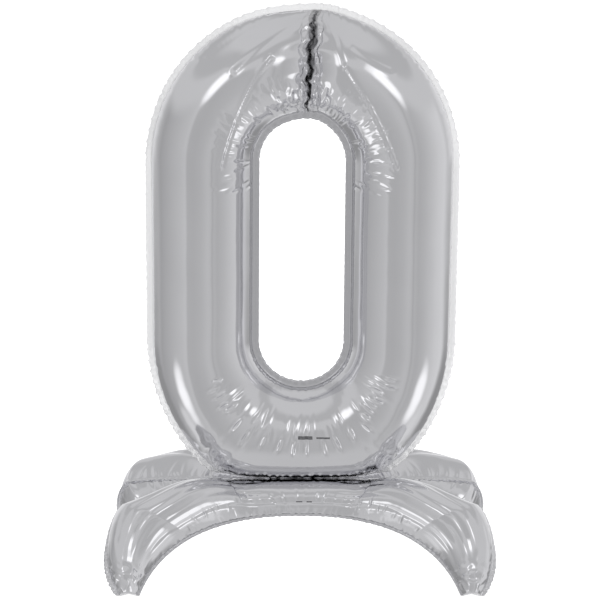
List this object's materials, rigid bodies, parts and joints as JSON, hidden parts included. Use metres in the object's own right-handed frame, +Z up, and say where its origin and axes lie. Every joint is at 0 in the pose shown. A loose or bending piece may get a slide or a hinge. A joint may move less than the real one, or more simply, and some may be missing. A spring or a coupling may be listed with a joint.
{
  "type": "foil number balloon",
  "caption": "Silver foil balloon shaped as a zero that stands by itself on inflated arched legs welded along its lower edge.",
  "frame": {"origin": "On the floor under the middle of the balloon, halfway between the front and rear feet.", "axes": "+Z is up along the digit, +X is to the right as the digit is read, and the readable face looks along -Y."},
  "size_m": [0.5052, 0.286, 0.74],
  "materials": {
    "silver_foil": "polished",
    "welded_margin": "satin",
    "inlet_print": "satin",
    "valve_film": "gloss"
  },
  "bodies": {
    "digit": {"digit_front_sheet": "silver_foil", "digit_back_sheet": "silver_foil", "digit_outer_seal": "welded_margin", "digit_hole_seal": "welded_margin", "digit_top_weld": "welded_margin", "waist_weld": "welded_margin", "digit_inlet": "inlet_print", "digit_valve_outer_film": "valve_film", "digit_valve_inner_film": "valve_film"},
    "front_leg": {"front_leg_front_sheet": "silver_foil", "front_leg_back_sheet": "silver_foil", "front_leg_outer_seal": "welded_margin", "front_leg_inner_seal": "welded_margin", "front_leg_left_foot_tab": "welded_margin", "front_leg_right_foot_tab": "welded_margin", "front_leg_inlet": "inlet_print", "front_leg_valve_outer_film": "valve_film", "front_leg_valve_inner_film": "valve_film"},
    "rear_leg": {"rear_leg_front_sheet": "silver_foil", "rear_leg_back_sheet": "silver_foil", "rear_leg_outer_seal": "welded_margin", "rear_leg_inner_seal": "welded_margin", "rear_leg_left_foot_tab": "welded_margin", "rear_leg_right_foot_tab": "welded_margin", "rear_leg_inlet": "inlet_print", "rear_leg_valve_outer_film": "valve_film", "rear_leg_valve_inner_film": "valve_film"}
  },
  "joints": [
    {"name": "front_leg_flex", "type": "hinge", "parent": "digit", "child": "front_leg", "pos_m": [0, 0, 0.117], "axis": [1, 0, 0], "range_deg": [-4, 4], "stiffness_Nm_per_rad": 6},
    {"name": "rear_leg_flex", "type": "hinge", "parent": "digit", "child": "rear_leg", "pos_m": [0, 0, 0.117], "axis": [1, 0, 0], "range_deg": [-4, 4], "stiffness_Nm_per_rad": 6}
  ]
}
